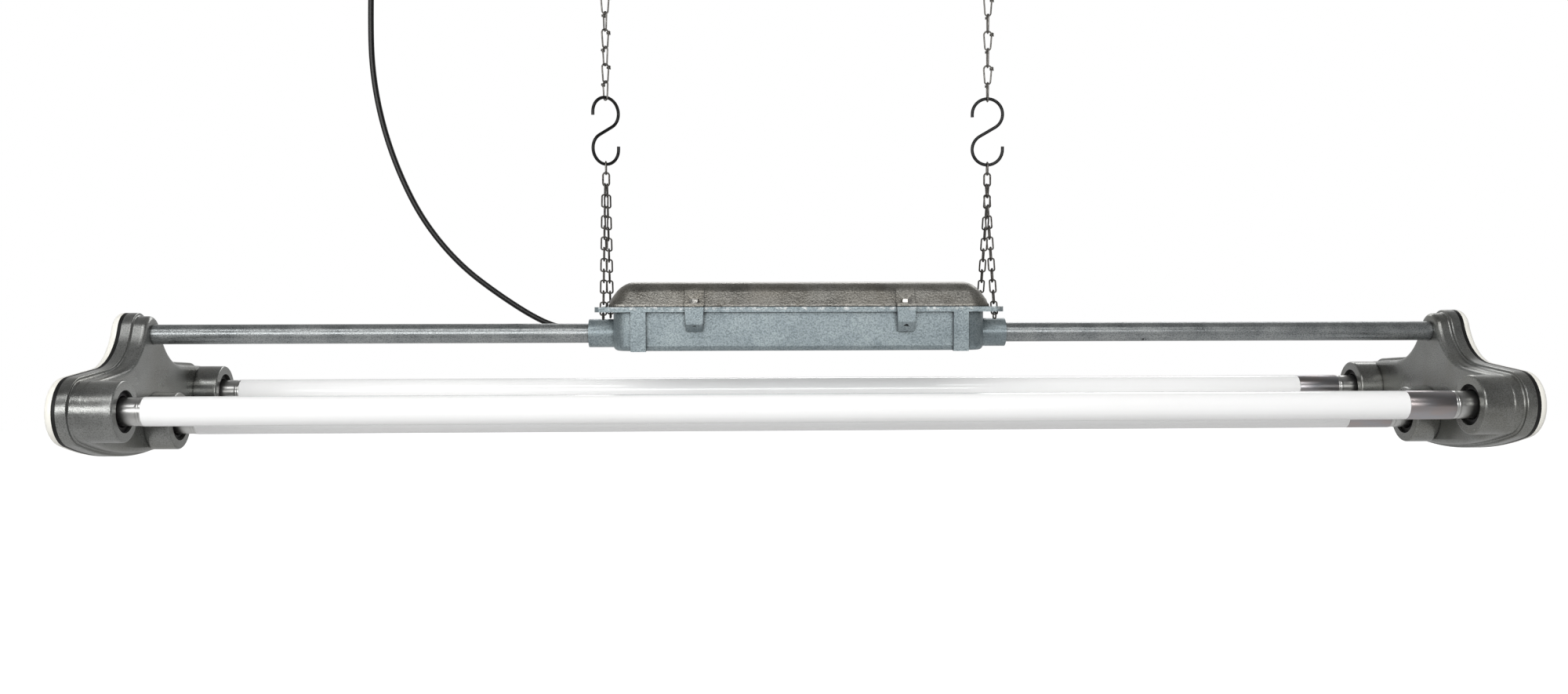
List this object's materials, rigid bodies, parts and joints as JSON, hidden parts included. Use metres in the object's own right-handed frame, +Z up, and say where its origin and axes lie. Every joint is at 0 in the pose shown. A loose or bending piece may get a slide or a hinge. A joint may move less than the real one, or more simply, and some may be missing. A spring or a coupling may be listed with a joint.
{
  "type": "hanging tube light",
  "caption": "Long hanging shop light: straight tubes between two lobed cast end heads, joined by conduits to a gear box on bridle chains and S-hooks.",
  "frame": {"origin": "midway between the two ceiling hooks, where the inner top of each chain's first link bears", "axes": "+X along the tubes to the right end, +Y from the front to the rear, +Z up"},
  "size_m": [1.3012, 0.2942, 0.4974],
  "materials": {
    "chain_steel": "dull zinc-plated wire",
    "bridle_steel": "dull zinc-plated wire, darker",
    "hook_black": "black wire",
    "box_paint": "blue-grey hammertone paint",
    "lid_paint": "worn warm grey paint",
    "head_paint": "satin grey-green paint",
    "conduit_paint": "speckled silver-grey paint over steel",
    "gasket_rubber": "matt black",
    "cover_plastic": "cream",
    "bolt_steel": "plated",
    "inner_steel": "galvanised sheet",
    "terminal_plastic": "off-white",
    "gland_plastic": "pale grey",
    "cable_black": "black sheath",
    "core_insulation": "insulated cores",
    "holder_plastic": "white",
    "opal_glass": "opal, coated inside",
    "foil": "wrinkled foil wrap",
    "cap_aluminium": "pressed cap with brass pins"
  },
  "bodies": {
    "ceiling": {"ceiling_links": "chain_steel"},
    "swing": {"swing_links": "chain_steel"},
    "left_hanger": {"knotted_chain_left": "chain_steel", "s_hook_left": "hook_black"},
    "right_hanger": {"knotted_chain_right": "chain_steel", "s_hook_right": "hook_black"},
    "left_wire_link": {"wire_link_left": "chain_steel"},
    "right_wire_link": {"wire_link_right": "chain_steel"},
    "lid": {"gear_box_lid": "lid_paint", "lid_bolts": "bolt_steel"},
    "front_tube": {"tube_front": "opal_glass", "tube_sleeve_front": "foil", "tube_caps_front": "cap_aluminium"},
    "rear_tube": {"tube_rear": "opal_glass", "tube_sleeve_rear": "foil", "tube_caps_rear": "cap_aluminium"},
    "lower_tube": {"tube_lower": "opal_glass", "tube_sleeve_lower": "foil", "tube_caps_lower": "cap_aluminium"},
    "lamp": {"apex_link_left": "bridle_steel", "apex_link_right": "bridle_steel", "bridle_chain_left_front": "bridle_steel", "bridle_chain_left_rear": "bridle_steel", "bridle_chain_right_front": "bridle_steel", "bridle_chain_right_rear": "bridle_steel", "retaining_links": "bridle_steel", "gear_box_body": "box_paint", "lid_gasket": "gasket_rubber", "mounting_tray": "inner_steel", "tray_screws": "bolt_steel", "terminal_block": "terminal_plastic", "cable_gland": "gland_plastic", "gland_nut": "gland_plastic", "power_cable": "cable_black", "supply_cores": "core_insulation", "supply_connector": "terminal_plastic", "conduit_left": "conduit_paint", "conduit_right": "conduit_paint", "conduit_lock_nuts": "bolt_steel", "head_left": "head_paint", "head_right": "head_paint", "cover_gasket_left": "gasket_rubber", "cover_gasket_right": "gasket_rubber", "end_cover_left": "cover_plastic", "end_cover_right": "cover_plastic", "cover_screws_left": "bolt_steel", "cover_screws_right": "bolt_steel", "seal_rings_left": "gasket_rubber", "seal_rings_right": "gasket_rubber", "lampholder_front_left": "holder_plastic", "lampholder_front_right": "holder_plastic", "lampholder_rear_left": "holder_plastic", "lampholder_rear_right": "holder_plastic", "lampholder_lower_left": "holder_plastic", "lampholder_lower_right": "holder_plastic"}
  },
  "joints": [
    {"name": "fore_aft_swing", "type": "hinge", "parent": "ceiling", "child": "swing", "pos_m": [0, 0, -0.01723], "axis": [1, 0, 0], "range_deg": [-12, 12]},
    {"name": "left_chain_sway", "type": "hinge", "parent": "swing", "child": "left_hanger", "pos_m": [-0.1831, 0, -0.03356], "axis": [0, 1, 0], "range_deg": [-10, 10]},
    {"name": "right_chain_sway", "type": "hinge", "parent": "swing", "child": "right_hanger", "pos_m": [0.1831, 0, -0.03356], "axis": [0, 1, 0], "range_deg": [-10, 10]},
    {"name": "left_wire_link_turn", "type": "hinge", "parent": "left_hanger", "child": "left_wire_link", "pos_m": [-0.1831, 0, -0.1898], "axis": [0, 1, 0], "range_deg": [-10, 10]},
    {"name": "right_wire_link_turn", "type": "hinge", "parent": "right_hanger", "child": "right_wire_link", "pos_m": [0.1831, 0, -0.1898], "axis": [0, 1, 0], "range_deg": [-10, 10]},
    {"name": "lamp_tilt", "type": "hinge", "parent": "left_wire_link", "child": "lamp", "pos_m": [-0.1831, 0, -0.20035], "axis": [1, 0, 0], "range_deg": [-12, 12]},
    {"name": "lid_lift", "type": "slide", "parent": "lamp", "child": "lid", "axis": [0, 0, 1], "range_m": [0, 0.06]},
    {"name": "front_tube_twist", "type": "hinge", "parent": "lamp", "child": "front_tube", "pos_m": [0, -0.1166, -0.4167], "axis": [1, 0, 0], "range_deg": [0, 90]},
    {"name": "rear_tube_twist", "type": "hinge", "parent": "lamp", "child": "rear_tube", "pos_m": [0, 0.1166, -0.4167], "axis": [1, 0, 0], "range_deg": [0, 90]},
    {"name": "lower_tube_twist", "type": "hinge", "parent": "lamp", "child": "lower_tube", "pos_m": [0, 0, -0.4355], "axis": [1, 0, 0], "range_deg": [0, 90]}
  ],
  "couplings": [
    {"joint": "right_chain_sway", "follows": "left_chain_sway", "ratio": 1},
    {"joint": "left_wire_link_turn", "follows": "left_chain_sway", "ratio": -1},
    {"joint": "right_wire_link_turn", "follows": "left_chain_sway", "ratio": -1}
  ]
}
